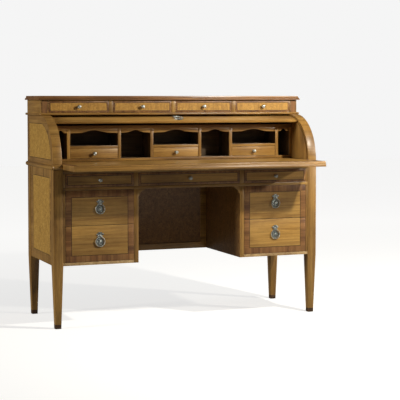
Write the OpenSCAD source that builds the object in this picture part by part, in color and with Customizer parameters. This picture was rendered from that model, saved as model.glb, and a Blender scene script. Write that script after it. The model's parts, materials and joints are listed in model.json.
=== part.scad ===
// Roll top desk: four tapered legs, two pedestals, a frieze, a writing slide, a pigeonhole
// unit under a tambour roll, and a gallery of small drawers on top.
// Millimetres. +Z is up and the front faces -Y. The origin is on the floor, below the middle
// of the desk as it stands with its writing slide drawn out.
// Inside the modules, y = 0 is the front face of the legs.

/* [Case] */
// Width over the outer faces of the legs
desk_w = 1370; // [1140:1:1700]
// Clear height under the pedestals
case_z = 298; // [200:1:420]
// Width of the kneehole
kneehole_w = 530; // [440:1:640]
// Depth behind the roll, to the back face of the legs
rear_space = 45; // [44:1:160]
// Thickness of the upright boards beside the kneehole
stile_t = 23; // [18:1:34]
// Width of the thin stiles between the drawers and the front legs
outer_stile = 11; // [6:1:24]
// Thickness of the lower side panels and of the rails round them
panel_t = 22; // [14:1:30]
// Thickness of the upper sides, which hold the roll
side_t = 43; // [30:1:60]

/* [Legs] */
// Width of a leg where it is square
leg_w = 46; // [36:1:60]
// Width of a leg at the floor
toe_w = 28; // [18:1:36]
// Height of the dark toe
toe_h = 20; // [8:1:60]

/* [Drawers] */
// Height of the opening of a lower pedestal drawer
low_open = 174; // [120:1:240]
// Height of the opening of an upper pedestal drawer
up_open = 167; // [120:1:240]
// Height of the opening of a frieze drawer
frieze_open = 66; // [44:1:90]
// Height of the opening of a gallery drawer
gallery_open = 59; // [34:1:80]
// Height of the opening of a drawer in the pigeonhole unit
inner_open = 48.5; // [40:0.5:60]
// Thickness of the fronts of the large drawers
front_t = 20; // [14:1:26]
// Thickness of the fronts of the small drawers
small_front_t = 12; // [8:1:16]
// Thickness of the sides and backs of the drawer boxes
wall_t = 8; // [5:1:12]
// Thickness of the drawer bottoms
bottom_t = 5; // [3:1:8]

/* [Rails] */
// Thickness of the pedestals' bottom boards
base_t = 14; // [6:1:20]
// Height of the rail under the frieze drawers
frieze_rail_h = 14; // [12:1:40]
// Height of the rail over the frieze drawers
top_rail_h = 18; // [16:1:40]
// Thickness of the dust board under the frieze drawers
dust_t = 12; // [6:1:14]
// Thickness of the deck that carries the writing slide
deck_t = 16; // [10:1:18]
// Reach of the brackets at the top of the kneehole
bracket = 34; // [20:1:60]

/* [Writing slide] */
// How far the slide stands out when it is drawn out
slide_out = 199; // [120:1:240]
// Thickness of the slide
slide_t = 26; // [18:1:34]
// How far the slide stays in the desk when it is drawn out
slide_in = 255; // [220:1:280]
// Depth of the moulded edge on the front of the slide
slide_edge_d = 14; // [8:1:20]

/* [Roll] */
// Radius of the upper sides' quarter round front edge
profile_r = 231; // [228:1:300]
// How far the roll's face lies inside that edge
roll_inset = 9; // [6:1:11]
// Thickness of the slats
slat_t = 8; // [6:1:9]
// Number of slats
slats = 14; // [12:1:14]
// Width of the lead rail, along the curve
lead_w = 76; // [60:1:80]
// Depth of the grooves that the roll runs in
groove_d = 5.5; // [3:0.5:12]
// Angle of the open roll's lower edge above the horizontal
open_angle = 64; // [60:1:68]

/* [Pigeonhole unit] */
// Height of the unit
unit_h = 174; // [160:1:175]
// Thickness of its upright partitions and of its top
unit_t = 16; // [10:1:20]
// Thickness of its bottom
unit_floor_t = 13; // [8:1:20]
// Clear width of the middle bay
mid_bay = 240; // [160:1:300]
// Clear width of the bays beside it
open_bay = 153; // [100:1:200]
// Clear width of the slots at both ends
slot_bay = 62; // [40:1:90]
// Thickness of the shelves over the drawers
shelf_t = 14; // [8:1:18]
// Height of the scalloped valances
valance_h = 21; // [14:1:30]

/* [Gallery] */
// Height of the rail under the gallery drawers
gallery_rail_h = 12; // [12:1:40]
// Height of the rail over them
gallery_top_h = 4; // [3:1:20]
// Width of the uprights between them
gallery_stile = 22; // [14:1:34]
// Width of the dark panels at both ends
pilaster_w = 39; // [30:1:60]
// Thickness of the cornice top
cornice_h = 20; // [14:1:34]
// How far the cornice stands out at its lower edge
cornice_out = 13; // [6:1:24]

/* [Mouldings and hardware] */
// Height of the rounded moulding at the waist
waist_h = 23; // [14:1:23]
// How far the waist moulding and the gallery bead stand out
bead_out = 11; // [5:1:16]
// Height of the gallery bead
bead_h = 11; // [6:1:18]
// Radius of the small knobs
knob_r = 9; // [6:0.5:12]
// Radius of the pull rings, to the middle of the wire
ring_r = 22.5; // [20:0.5:32]
// Radius of the pull rings' wire
wire_r = 3; // [2:0.5:3.5]

/* [Hidden] */

walnut = [0.60, 0.40, 0.18];
burl = [0.68, 0.47, 0.20];
dark = [0.20, 0.12, 0.07];
pale = [0.78, 0.64, 0.42];
canvas = [0.55, 0.50, 0.40];
pewter = [0.60, 0.59, 0.55];
brass = [0.72, 0.58, 0.28];

arc_fn = 120;  // for the large arcs
turn_fn = 32;  // for knobs, rings and screws
glue = 0.1;    // glue line between boards of one sub-part
gap = 1;       // round each drawer front
run = 0.5;     // a drawer box over what it slides on
face_in = 2;   // drawer fronts, rails and upper sides, behind the face of the legs
eps = 0.01;    // overlap of a cut past the face it opens

half_w = desk_w / 2;
leg_in = half_w - leg_w;      // inner face of the legs
side_in = half_w - side_t;    // inner face of the upper sides
knee = kneehole_w / 2;
ped_in = knee + stile_t;      // inner end of the pedestal openings
ped_out = leg_in - outer_stile;
ped_w = ped_out - ped_in;

// Heights, from the floor up
base_z = case_z + base_t;
split_z = base_z + low_open;
rail_z = split_z + up_open;
frieze_z = rail_z + frieze_rail_h;
top_rail_z = frieze_z + frieze_open;
waist_z = top_rail_z + top_rail_h;
runner_h = 1.8;               // slide runners on the deck
slide_z = waist_z + runner_h + 0.2;
slide_top = slide_z + slide_t;
roll_z = waist_z + 24;        // axis of the roll
unit_z = slide_top + 1.5;
unit_top = unit_z + unit_h;
gallery_z = roll_z + profile_r - 1;
gallery_open_z = gallery_z + gallery_rail_h;
gallery_top_z = gallery_open_z + gallery_open;
cornice_z = gallery_top_z + gallery_top_h;

// Depths, from the front face of the legs
roll_y = profile_r + face_in; // axis of the roll, and the front of the gallery
roll_r = profile_r - roll_inset;
desk_d = roll_y + roll_r + rear_space;
front_y = (slide_out - desk_d) / 2;
back_t = 12;
back_y = desk_d - back_t - 10;        // front face of the lower back
upper_back_y = desk_d - back_t - 14;
knee_panel_t = 24;
knee_y = back_y - knee_panel_t;       // front face of the kneehole panel
rail_d = 20;                          // depth of the front rails
drawer_back = min(back_y - 30, desk_d - leg_w - 1);  // back of the large drawers
unit_y = roll_y - 35;                 // front of the pigeonhole unit

// Roll
lead_t = slat_t + 2;
roll_in_r = roll_r - lead_t;
slat_r = roll_r - slat_t;             // flat back of the slats
canvas_t = 0.8;
deg = 180 / PI;
lead_deg = lead_w / (roll_r - slat_t / 2) * deg;
slat_pitch = 20 / (roll_r - slat_t / 2) * deg;
slat_gap = 0.1;                       // degrees between slats
tail_angle = open_angle + lead_deg + slats * slat_pitch;
groove_play = 0.8;
roll_half = side_in + groove_d - 1;   // half the length of the slats
unit_rear_r = roll_in_r - 3.5;        // the unit's back top corner stays inside this
unit_d = sqrt(pow(unit_rear_r, 2) - pow(unit_top - roll_z, 2)) + roll_y - unit_y;
unit_back_t = 8;

// Pigeonhole unit
unit_half = side_in - 0.3;
wall_1 = mid_bay / 2;                 // left faces of the partitions, right of the middle
wall_2 = wall_1 + unit_t + open_bay;
wall_3 = unit_half - unit_t - slot_bay - unit_t;
shelf_z = unit_z + unit_floor_t + inner_open;
unit_ceiling = unit_top - unit_t;
unit_floor = unit_z + unit_floor_t;

// Gallery
gallery_w = (desk_w - 2 * pilaster_w - 3 * gallery_stile) / 4;
gallery_side_t = 20;
gallery_board_t = 12;
gallery_drawer_d = desk_d - back_t - 14 - roll_y - 6;
low_pull_up = 8;
up_pull_up = -7;
screw_r = 2;
screw_hole_r = 2.1;

function gallery_x(i) = -half_w + pilaster_w + (i - 0.5) * gallery_w + (i - 1) * gallery_stile;
function inner_x(i) = (i - 2) * (wall_2 + unit_t + wall_3) / 2;
function inner_w(i) = i == 2 ? mid_bay : wall_3 - wall_2 - unit_t;
function frieze_x(i) = (i - 2) * (ped_in + ped_out) / 2;
function frieze_w(i) = i == 2 ? kneehole_w : ped_w;
function pedestal_x(i) = (i < 3 ? -1 : 1) * (ped_in + ped_out) / 2;
function pedestal_low(i) = i % 2 == 0;
function pedestal_z(i) = pedestal_low(i) ? base_z : split_z;
function pedestal_open(i) = pedestal_low(i) ? low_open : up_open;
// Middle of a pull's ring: the lower pull sits a little above the middle of its drawer
function pull_z(i) = pedestal_z(i) + pedestal_open(i) / 2 + (pedestal_low(i) ? low_pull_up : up_pull_up);

module from_front() translate([0, front_y, 0]) children();

module both_sides() {
    children();
    mirror([1, 0, 0]) children();
}

// A board between two corners
module board(low, high) translate(low) cube(high - low);

// A 2D shape drawn in y and z, run along X from x0 to x1
module along_x(x0, x1) {
    translate([x0, 0, 0]) rotate([90, 0, 90]) linear_extrude(x1 - x0) children();
}

// A 2D shape drawn in x and z, run along Y from y0 to y1
module along_y(y0, y1) {
    translate([0, y1, 0]) rotate([90, 0, 0]) linear_extrude(y1 - y0) children();
}

// Places what faces -Y so that it faces out of the roll, at an angle above the horizontal
module on_roll(angle) {
    translate([0, roll_y, roll_z]) rotate([-angle, 0, 0]) translate([0, -roll_r, 0]) children();
}

// A sector of a ring round the roll's axis, in y and z
module roll_sector(r_in, r_out, from, to) {
    reach = 2 * r_out;
    translate([roll_y, roll_z]) intersection() {
        difference() {
            circle(r_out, $fn = arc_fn);
            circle(r_in, $fn = arc_fn);
        }
        polygon(concat([[0, 0]], [for (k = [0:4]) let (a = from + (to - from) * k / 4)
            reach * [-cos(a), sin(a)]]));
    }
}

/* Legs */

module taper(low_w, high_w, low_z, high_z) {
    in_low = (leg_w - low_w) / 2;
    in_high = (leg_w - high_w) / 2;
    hull() {
        translate([in_low, in_low, low_z]) cube([low_w, low_w, eps]);
        translate([in_high, in_high, high_z - eps]) cube([high_w, high_w, eps]);
    }
}

module each_leg() {
    both_sides() for (y = [0, desk_d - leg_w]) translate([leg_in, y, 0]) children();
}

module legs() {
    toe_top_w = toe_w + (leg_w - toe_w) * toe_h / case_z;
    color(walnut) from_front() each_leg() {
        taper(toe_top_w, leg_w, toe_h, case_z);
        translate([0, 0, case_z]) cube([leg_w, leg_w, waist_z - case_z]);
    }
}

module leg_toes() {
    toe_top_w = toe_w + (leg_w - toe_w) * toe_h / case_z;
    color(dark) from_front() each_leg() taper(toe_w, toe_top_w, 0, toe_h);
}

/* Lower case */

side_rail_h = 30;

module lower_sides() {
    y0 = leg_w;
    y1 = desk_d - leg_w;
    x0 = half_w - face_in - panel_t;
    x1 = half_w - face_in;
    color(burl) from_front() both_sides() {
        board([x0, y0, case_z], [x1, y1, case_z + side_rail_h]);
        board([x0, y0, case_z + side_rail_h + glue], [x1, y1, waist_z - side_rail_h - glue]);
        board([x0, y0, waist_z - side_rail_h], [x1, y1, waist_z]);
    }
}

module lower_back() {
    frame_y = back_y + back_t + glue;
    frame_t = 6;
    stile = 50;
    color(walnut) from_front() {
        board([-leg_in, back_y, case_z], [leg_in, back_y + back_t, waist_z]);
        board([-leg_in, frame_y, case_z], [leg_in, frame_y + frame_t, case_z + stile]);
        board([-leg_in, frame_y, waist_z - stile], [leg_in, frame_y + frame_t, waist_z]);
        for (x = [-leg_in, -knee - stile, knee, leg_in - stile]) {
            board([x, frame_y, case_z + stile + glue],
                  [x + stile, frame_y + frame_t, waist_z - stile - glue]);
        }
    }
}

module kneehole_sides() {
    color(burl) from_front() both_sides()
        board([knee, face_in, case_z], [ped_in, back_y, rail_z]);
}

module kneehole_panel() {
    frame = 32;
    sink = 6;
    color(burl) from_front() difference() {
        board([-knee, knee_y, case_z], [knee, back_y, rail_z]);
        board([-knee + frame, knee_y - 1, case_z + frame], [knee - frame, knee_y + sink, rail_z - frame]);
    }
}

module pedestal_boards() {
    panel_in = half_w - face_in - panel_t;
    color(pale) from_front() {
        both_sides() {
            board([ped_in, face_in, case_z], [leg_in, back_y, base_z]);
            board([leg_in + glue, leg_w, case_z], [panel_in, desk_d - leg_w, base_z]);
        }
        board([-leg_in, face_in + rail_d, frieze_z - dust_t], [leg_in, back_y, frieze_z]);
    }
}

module front_rails() {
    y1 = face_in + rail_d;
    color(walnut) from_front() {
        board([-leg_in, face_in, rail_z], [leg_in, y1 - glue, frieze_z]);
        board([-leg_in, face_in, top_rail_z], [leg_in, y1 - glue, waist_z]);
        both_sides() {
            board([knee, face_in, frieze_z + glue], [ped_in, y1 - glue, top_rail_z - glue]);
            board([ped_out, face_in, frieze_z + glue], [leg_in, y1 - glue, top_rail_z - glue]);
            board([ped_out, face_in, base_z], [leg_in, y1 - glue, rail_z - glue]);
        }
    }
}

module drawer_runners() {
    strip_w = 14;
    strip_h = 10;
    start_y = leg_w + 4;
    slip_w = 30;
    slip_x = min(leg_in, side_in);
    frieze_y = face_in + rail_d + 4;
    color(pale) from_front() both_sides() {
        // Under the upper pedestal drawer
        board([ped_in, start_y, split_z - strip_h], [ped_in + strip_w, drawer_back, split_z]);
        board([ped_out - strip_w, start_y, split_z - strip_h],
              [half_w - face_in - panel_t, drawer_back, split_z]);
        // Between the frieze drawers, so that each one runs straight
        board([knee, frieze_y, frieze_z], [ped_in, drawer_back, top_rail_z]);
        board([ped_out, frieze_y, frieze_z], [leg_in, drawer_back, top_rail_z]);
        // Thin slips that the writing slide runs on
        board([slip_x - slip_w, face_in, waist_z], [slip_x, upper_back_y, waist_z + runner_h]);
    }
}

module kneehole_brackets() {
    color(walnut) from_front() both_sides() along_y(face_in, face_in + rail_d) difference() {
        translate([knee - bracket, rail_z - bracket]) square(bracket);
        translate([knee - bracket, rail_z - bracket]) circle(bracket * 0.82, $fn = 64);
    }
}

module deck_board() {
    color(pale) from_front()
        board([-leg_in, face_in + rail_d, waist_z - deck_t], [leg_in, back_y, waist_z]);
}

// A rounded bar, in a plane where the first axis points out of the desk
module bead_section(out, h) {
    r = min(h / 2, out);
    intersection() {
        translate([out - r, h / 2]) circle(r, $fn = turn_fn);
        square([out, h]);
    }
    if (out > r) translate([0, h / 2 - r]) square([out - r, 2 * r]);
}

// A bead along both sides of the desk, with the mitred corner that turns it to the front at y0
module side_beads(out, h, y0) {
    both_sides() {
        translate([half_w, 0, 0]) along_y(y0, desk_d) bead_section(out, h);
        intersection() {
            translate([half_w, 0, 0]) along_y(y0 - out, y0) bead_section(out, h);
            front_bead(out, h, y0, half_w, half_w + out);
        }
    }
}

module front_bead(out, h, y0, x0, x1) {
    translate([0, y0, 0]) mirror([0, 1, 0]) along_x(x0, x1) bead_section(out, h);
}

module waist_moulding() {
    color(walnut) from_front() translate([0, 0, waist_z]) {
        side_beads(bead_out, waist_h, 0);
        both_sides() front_bead(bead_out, waist_h, 0, side_in + 0.5, half_w - glue);
    }
}

/* Upper case */

module screw_spots() {
    for (y = [roll_y + 40, roll_y + 130, desk_d - 50]) {
        translate([half_w - gallery_side_t - 12, y, 0]) children();
    }
}

module upper_sides() {
    color(burl) from_front() both_sides() difference() {
        along_x(side_in, half_w) {
            translate([face_in, waist_z]) square([desk_d - face_in, roll_z - waist_z]);
            intersection() {
                translate([face_in, roll_z]) square([desk_d - face_in, gallery_z - roll_z]);
                union() {
                    translate([roll_y, roll_z]) circle(profile_r, $fn = arc_fn);
                    translate([roll_y, roll_z]) square([desk_d, desk_d]);
                }
            }
        }
        along_x(side_in - 1, side_in + groove_d)
            roll_sector(roll_in_r - groove_play, roll_r + groove_play, 0.4, tail_angle + 2);
        screw_spots() translate([0, 0, gallery_z - 26]) cylinder(27, r = screw_hole_r, $fn = turn_fn);
    }
}

module upper_back() {
    color(walnut) from_front()
        board([-side_in, upper_back_y, waist_z], [side_in, upper_back_y + back_t, gallery_z]);
}

/* Pigeonhole unit */

module pigeonhole_case() {
    y1 = unit_y + unit_d;
    inner_y = y1 - unit_back_t;
    color(walnut) from_front() {
        board([-unit_half, unit_y, unit_z], [unit_half, y1, unit_floor]);
        board([-unit_half, unit_y, unit_ceiling], [unit_half, y1, unit_top]);
        board([-unit_half, inner_y, unit_floor + glue], [unit_half, y1, unit_ceiling - glue]);
        both_sides() board([unit_half - unit_t, unit_y, unit_floor + glue],
                           [unit_half, inner_y - glue, unit_ceiling - glue]);
    }
}

module pigeonhole_partitions() {
    inner_y = unit_y + unit_d - unit_back_t;
    color(walnut) from_front() {
        both_sides() for (x = [wall_1, wall_2, wall_3])
            board([x, unit_y, unit_floor], [x + unit_t, inner_y, unit_ceiling]);
        for (i = [1:3]) {
            reach = inner_w(i) / 2 - glue;
            board([inner_x(i) - reach, unit_y + 1, shelf_z],
                  [inner_x(i) + reach, inner_y, shelf_z + shelf_t]);
        }
    }
}

// Lower edge of a valance: two shoulders and a rise to the middle, as a cosine
module valance(w) {
    steps = 16;
    shoulder = 0.16;
    rise = 14;
    translate([-w / 2, 0]) polygon(concat(
        [[0, valance_h], [0, 0]],
        [for (k = [0:steps]) let (t = k / steps, x = shoulder + (1 - 2 * shoulder) * t)
            [x * w, 1.5 + (rise - 1.5) * (1 - cos(360 * t)) / 2]],
        [[w, 0], [w, valance_h]]));
}

module pigeonhole_valances() {
    bay_2 = wall_1 + unit_t + open_bay / 2;
    bay_4 = unit_half - unit_t - slot_bay / 2;
    color(walnut) from_front() translate([0, 0, unit_ceiling - valance_h])
        along_y(unit_y + 1, unit_y + 9) {
            valance(mid_bay - 2 * glue);
            for (side = [-1, 1]) {
                translate([side * bay_2, 0]) valance(open_bay - 2 * glue);
                translate([side * inner_x(3), 0]) valance(inner_w(3) - 2 * glue);
                translate([side * bay_4, 0]) valance(slot_bay - 2 * glue);
            }
        }
}

/* Gallery */

module gallery_case() {
    y0 = roll_y;
    rail_y = y0 + 16;
    back = desk_d - back_t;
    inner = half_w - gallery_side_t;
    floor_z = gallery_z + gallery_board_t;
    color(walnut) from_front() {
        difference() {
            board([-inner + glue, rail_y + glue, gallery_z], [inner - glue, back - glue, floor_z]);
            both_sides() screw_spots() {
                translate([0, 0, gallery_z - 1]) cylinder(gallery_board_t + 2, r = screw_hole_r, $fn = turn_fn);
                translate([0, 0, floor_z - 3]) cylinder(4, r = 2 * screw_hole_r, $fn = turn_fn);
            }
        }
        board([-half_w + pilaster_w, y0, gallery_z], [half_w - pilaster_w, rail_y, gallery_open_z]);
        board([-half_w + pilaster_w, y0, gallery_top_z], [half_w - pilaster_w, rail_y, cornice_z]);
        board([-inner + glue, back, gallery_z], [inner - glue, desk_d, cornice_z]);
        both_sides() {
            board([inner, rail_y + glue, gallery_z], [half_w, desk_d, cornice_z]);
            board([half_w - pilaster_w + glue, y0, gallery_z], [half_w, rail_y, cornice_z]);
            board([half_w - pilaster_w, rail_y + glue, floor_z + glue],
                  [inner - glue, back - glue, cornice_z]);
        }
        for (i = [1:3]) {
            x = gallery_x(i) + gallery_w / 2;
            board([x, y0, gallery_open_z + glue], [x + gallery_stile, rail_y, gallery_top_z - glue]);
            board([x, rail_y + glue, floor_z + glue], [x + gallery_stile, back - glue, cornice_z]);
        }
    }
}

module gallery_screws() {
    head_h = 2.5;
    floor_z = gallery_z + gallery_board_t;
    color(brass) from_front() both_sides() screw_spots() {
        translate([0, 0, gallery_z - 24]) cylinder(floor_z - gallery_z + 22, r = screw_r, $fn = turn_fn);
        translate([0, 0, floor_z - head_h - 0.3]) cylinder(head_h, r = 1.9 * screw_r, $fn = turn_fn);
    }
}

// Section of the cornice from its lower edge up, as a distance from the wall of the case
function cornice_section(out, h) = [
    [out, 0], [out, 0.3 * h], [0.80 * out, 0.45 * h], [0.58 * out, 0.60 * h],
    [0.50 * out, 0.72 * h], [0.50 * out, h]
];

module cornice_top() {
    section = cornice_section(cornice_out, cornice_h);
    right = [for (p = section) [half_w + p[0], p[1]]];
    left = [for (k = [len(section) - 1:-1:0]) [-half_w - section[k][0], section[k][1]]];
    front = [for (k = [len(section) - 1:-1:0]) [roll_y - section[k][0], section[k][1]]];
    color(walnut) from_front() translate([0, 0, cornice_z]) intersection() {
        along_y(roll_y - 2 * cornice_out, desk_d) polygon(concat(right, left));
        along_x(-desk_w, desk_w) polygon(concat(front, [[desk_d, 0], [desk_d, cornice_h]]));
    }
}

module gallery_bead() {
    color(walnut) from_front() translate([0, 0, gallery_z]) {
        side_beads(bead_out, bead_h, roll_y);
        front_bead(bead_out, bead_h, roll_y, -half_w + glue, half_w - glue);
    }
}

/* Roll */

// One slat's section: a flat back and an arched face, in y and z, facing -Y
module slat_section() {
    steps = 8;
    shoulder = 0.55 * slat_t;
    half = (slat_r * sin(slat_pitch - slat_gap)) / 2 - 0.05;
    polygon(concat(
        [[slat_t, -half], [slat_t, half]],
        [for (k = [steps:-1:0]) let (t = 2 * k / steps - 1)
            [(slat_t - shoulder) * t * t * 0.8, half * t]]));
}

module tambour_slats() {
    color(walnut) from_front() for (k = [0:slats - 1]) {
        on_roll(open_angle + lead_deg + (k + 0.5) * slat_pitch)
            along_x(-roll_half, roll_half) slat_section();
    }
}

module tambour_canvas() {
    out_r = slat_r - 0.35;
    color(canvas) from_front() along_x(-side_in + 10, side_in - 10)
        roll_sector(out_r - canvas_t, out_r, open_angle + lead_deg + 0.3, tail_angle - 0.5);
}

module lead_rail() {
    color(walnut) from_front() along_x(-roll_half, roll_half)
        roll_sector(roll_in_r, roll_r, open_angle, open_angle + lead_deg - 0.15);
}

/* Pulls and knobs: y = 0 is the face that they are fixed to */

stand_off = wire_r + 2;
rosette_r = 0.85 * ring_r;

module disc(h, r) rotate([90, 0, 0]) cylinder(h, r = r, $fn = turn_fn);

module pull_plate() {
    eye_r = stand_off - 0.1;
    strap = 4;
    lobe_r = 6;
    lobe_z = ring_r + 12;
    difference() {
        union() {
            disc(1.8, rosette_r);
            disc(6, 0.6 * rosette_r);
            translate([-strap / 2, -1.2, 0]) cube([strap, 1.2, lobe_z]);
            for (side = [-1, 1]) {
                translate([side * 7, 0, lobe_z + 4]) disc(4, lobe_r);
                translate([side * 16, 0, lobe_z - 3]) disc(4, lobe_r);
            }
            translate([0, 0, lobe_z]) disc(6, 4.5);
            translate([-strap / 2, -stand_off, ring_r]) rotate([0, 90, 0]) cylinder(strap, r = eye_r, $fn = turn_fn);
        }
        translate([-strap, -stand_off, ring_r]) rotate([0, 90, 0])
            cylinder(2 * strap, r = wire_r + 0.45, $fn = turn_fn);
    }
}

module pull_ring() {
    translate([0, -stand_off, 0]) rotate([90, 0, 0]) rotate_extrude($fn = 64)
        translate([ring_r, 0]) circle(wire_r, $fn = turn_fn);
}

// Half the outline of a turned knob: a foot, a neck and a flattened head
module knob() {
    depth = 2 * knob_r;
    head = [for (a = [-60:20:90]) [knob_r * cos(a), depth - 0.62 * knob_r * (1 - sin(a))]];
    rotate([90, 0, 0]) rotate_extrude($fn = turn_fn)
        polygon(concat([[0, 0], [0.75 * knob_r, 0], [0.7 * knob_r, 1.5], [0.38 * knob_r, 3],
                        [0.35 * knob_r, 0.7 * knob_r]], head, [[0, depth]]));
}

// The lift pull's flat back touches the curved lead rail between its rosette and its bow
lift_touch = 15;
lift_angle = open_angle + lead_deg / 2 + 1;

module on_lead_rail() on_roll(lift_angle) translate([0, -0.2, -lift_touch]) children();

module lift_plate() color(pewter) from_front() on_lead_rail() pull_plate();

module lift_ring() color(pewter) from_front() on_lead_rail() pull_ring();

/* Writing slide */

slide_half = side_in - 2;

module slide_board() {
    color(burl) from_front()
        board([-slide_half, slide_edge_d - slide_out, slide_z], [slide_half, slide_in, slide_top]);
}

module slide_edge() {
    color(walnut) from_front() translate([0, -slide_out, slide_z]) along_x(-slide_half, slide_half)
        polygon([[0, 0], [0, 0.35 * slide_t], [2, 0.50 * slide_t], [5, 0.62 * slide_t],
                 [5, 0.9 * slide_t], [6, slide_t], [slide_edge_d, slide_t], [slide_edge_d, 0]]);
}

/* Drawers: x = 0 is the middle, y = 0 the face and z = 0 the bottom of the opening */

module drawer(open_w, open_h, depth, face_t, box_h) {
    half = open_w / 2 - gap;
    box_half = half - 2;
    y0 = face_t + glue;
    floor_z = run + 4;
    board([-half, 0, gap], [half, face_t, open_h - gap]);
    both_sides() board([box_half - wall_t, y0, run], [box_half, depth, run + box_h]);
    board([-box_half + wall_t + glue, depth - wall_t, run],
          [box_half - wall_t - glue, depth, run + box_h]);
    board([-box_half + wall_t + glue, y0, floor_z],
          [box_half - wall_t - glue, depth - wall_t - glue, floor_z + bottom_t]);
}

module gallery_drawer(i) {
    color(walnut) from_front() translate([gallery_x(i), roll_y + 1, gallery_open_z])
        drawer(gallery_w, gallery_open, gallery_drawer_d, small_front_t, gallery_open - 14);
}

module gallery_knob(i) {
    color(pewter) from_front() translate([gallery_x(i), roll_y + 1, gallery_open_z + gallery_open / 2])
        knob();
}

module inner_drawer(i) {
    color(walnut) from_front() translate([inner_x(i), unit_y + 1, unit_floor])
        drawer(inner_w(i), inner_open, unit_d - unit_back_t - 4, small_front_t, inner_open - 8);
}

module inner_knob(i) {
    color(pewter) from_front() translate([inner_x(i), unit_y + 1, unit_floor + inner_open / 2]) knob();
}

module frieze_drawer(i) {
    color(walnut) from_front() translate([frieze_x(i), face_in, frieze_z])
        drawer(frieze_w(i), frieze_open, drawer_back - face_in, front_t, frieze_open - 14);
}

module frieze_knob(i) {
    color(pewter) from_front() translate([frieze_x(i), face_in, frieze_z + frieze_open / 2]) knob();
}

module pedestal_drawer(i) {
    color(walnut) from_front() translate([pedestal_x(i), face_in, pedestal_z(i)])
        drawer(ped_w, pedestal_open(i), drawer_back - face_in, front_t, pedestal_open(i) - 26);
}

module pull_plate_at(i) color(pewter) from_front() translate([pedestal_x(i), face_in, pull_z(i)]) pull_plate();

module pull_ring_at(i) color(pewter) from_front() translate([pedestal_x(i), face_in, pull_z(i)]) pull_ring();

legs();
leg_toes();
lower_sides();
lower_back();
kneehole_sides();
kneehole_panel();
pedestal_boards();
front_rails();
drawer_runners();
kneehole_brackets();
deck_board();
waist_moulding();
upper_sides();
upper_back();
pigeonhole_case();
pigeonhole_partitions();
pigeonhole_valances();
gallery_case();
gallery_screws();
cornice_top();
gallery_bead();
tambour_slats();
tambour_canvas();
lead_rail();
lift_plate();
lift_ring();
slide_board();
slide_edge();
gallery_drawer(1);  // gallery_drawer_1
gallery_drawer(2);  // gallery_drawer_2
gallery_drawer(3);  // gallery_drawer_3
gallery_drawer(4);  // gallery_drawer_4
gallery_knob(1);  // gallery_knob_1
gallery_knob(2);  // gallery_knob_2
gallery_knob(3);  // gallery_knob_3
gallery_knob(4);  // gallery_knob_4
inner_drawer(1);  // inner_drawer_1
inner_drawer(2);  // inner_drawer_2
inner_drawer(3);  // inner_drawer_3
inner_knob(1);  // inner_knob_1
inner_knob(2);  // inner_knob_2
inner_knob(3);  // inner_knob_3
frieze_drawer(1);  // frieze_drawer_1
frieze_drawer(2);  // frieze_drawer_2
frieze_drawer(3);  // frieze_drawer_3
frieze_knob(1);  // frieze_knob_1
frieze_knob(2);  // frieze_knob_2
frieze_knob(3);  // frieze_knob_3
pedestal_drawer(1);  // pedestal_drawer_1
pedestal_drawer(2);  // pedestal_drawer_2
pedestal_drawer(3);  // pedestal_drawer_3
pedestal_drawer(4);  // pedestal_drawer_4
pull_plate_at(1);  // pull_plate_1
pull_plate_at(2);  // pull_plate_2
pull_plate_at(3);  // pull_plate_3
pull_plate_at(4);  // pull_plate_4
pull_ring_at(1);  // pull_ring_1
pull_ring_at(2);  // pull_ring_2
pull_ring_at(3);  // pull_ring_3
pull_ring_at(4);  // pull_ring_4
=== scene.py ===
# %% [markdown]
# # Dressing a roll top desk in veneer
# A desk like this is a box of plain boards with a beautiful skin: figured veneers, darker
# cross-grained borders and thin dark lines between them. The boards, the drawers and the roll
# are already made to size in the CAD model. This lesson gives them their skin, eases their
# edges as a sanding block would, and models the small cast pulls and knobs.

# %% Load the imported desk
import json
import math

import bmesh
import bpy
from mathutils import Matrix, Vector


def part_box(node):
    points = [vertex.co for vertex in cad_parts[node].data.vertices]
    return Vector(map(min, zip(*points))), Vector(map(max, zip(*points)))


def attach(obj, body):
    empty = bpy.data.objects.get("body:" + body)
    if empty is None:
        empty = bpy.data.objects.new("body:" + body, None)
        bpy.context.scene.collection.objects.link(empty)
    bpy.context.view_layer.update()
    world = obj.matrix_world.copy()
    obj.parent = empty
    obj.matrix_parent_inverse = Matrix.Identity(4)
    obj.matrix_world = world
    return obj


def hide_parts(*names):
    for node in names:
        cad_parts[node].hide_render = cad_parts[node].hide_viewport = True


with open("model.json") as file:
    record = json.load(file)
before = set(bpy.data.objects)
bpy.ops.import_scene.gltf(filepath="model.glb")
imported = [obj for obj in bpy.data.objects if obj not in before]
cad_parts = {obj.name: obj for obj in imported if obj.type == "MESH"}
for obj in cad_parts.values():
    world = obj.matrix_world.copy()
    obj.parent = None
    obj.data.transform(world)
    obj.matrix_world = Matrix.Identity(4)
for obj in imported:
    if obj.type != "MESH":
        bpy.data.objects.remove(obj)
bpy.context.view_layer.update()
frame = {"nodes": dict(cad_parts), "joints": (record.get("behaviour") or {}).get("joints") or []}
nodes = frame["nodes"]
MM = 0.001

# %% [markdown]
# ## The camera
# Furniture looks best from far away through a long lens, so that upright edges stay upright.
# Tilting the camera down would make the legs lean together. We tilt it a little and let a small
# lens shift bring the desk into the frame for the rest.

# %% Camera
camera_data = bpy.data.cameras.new("camera")
camera_data.sensor_width = 36.0
camera_data.lens = 113.0
camera_data.shift_y = -0.0895
camera_data.clip_end = 60.0
camera = bpy.data.objects.new("camera", camera_data)
bpy.context.scene.collection.objects.link(camera)
camera.location = (-2.1934, -5.8522, 1.0874)
camera.rotation_euler = (math.radians(90.0 - 3.0), 0.0, -0.3751)
bpy.context.scene.camera = camera
print("camera at", tuple(round(v, 2) for v in camera.location))

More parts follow.
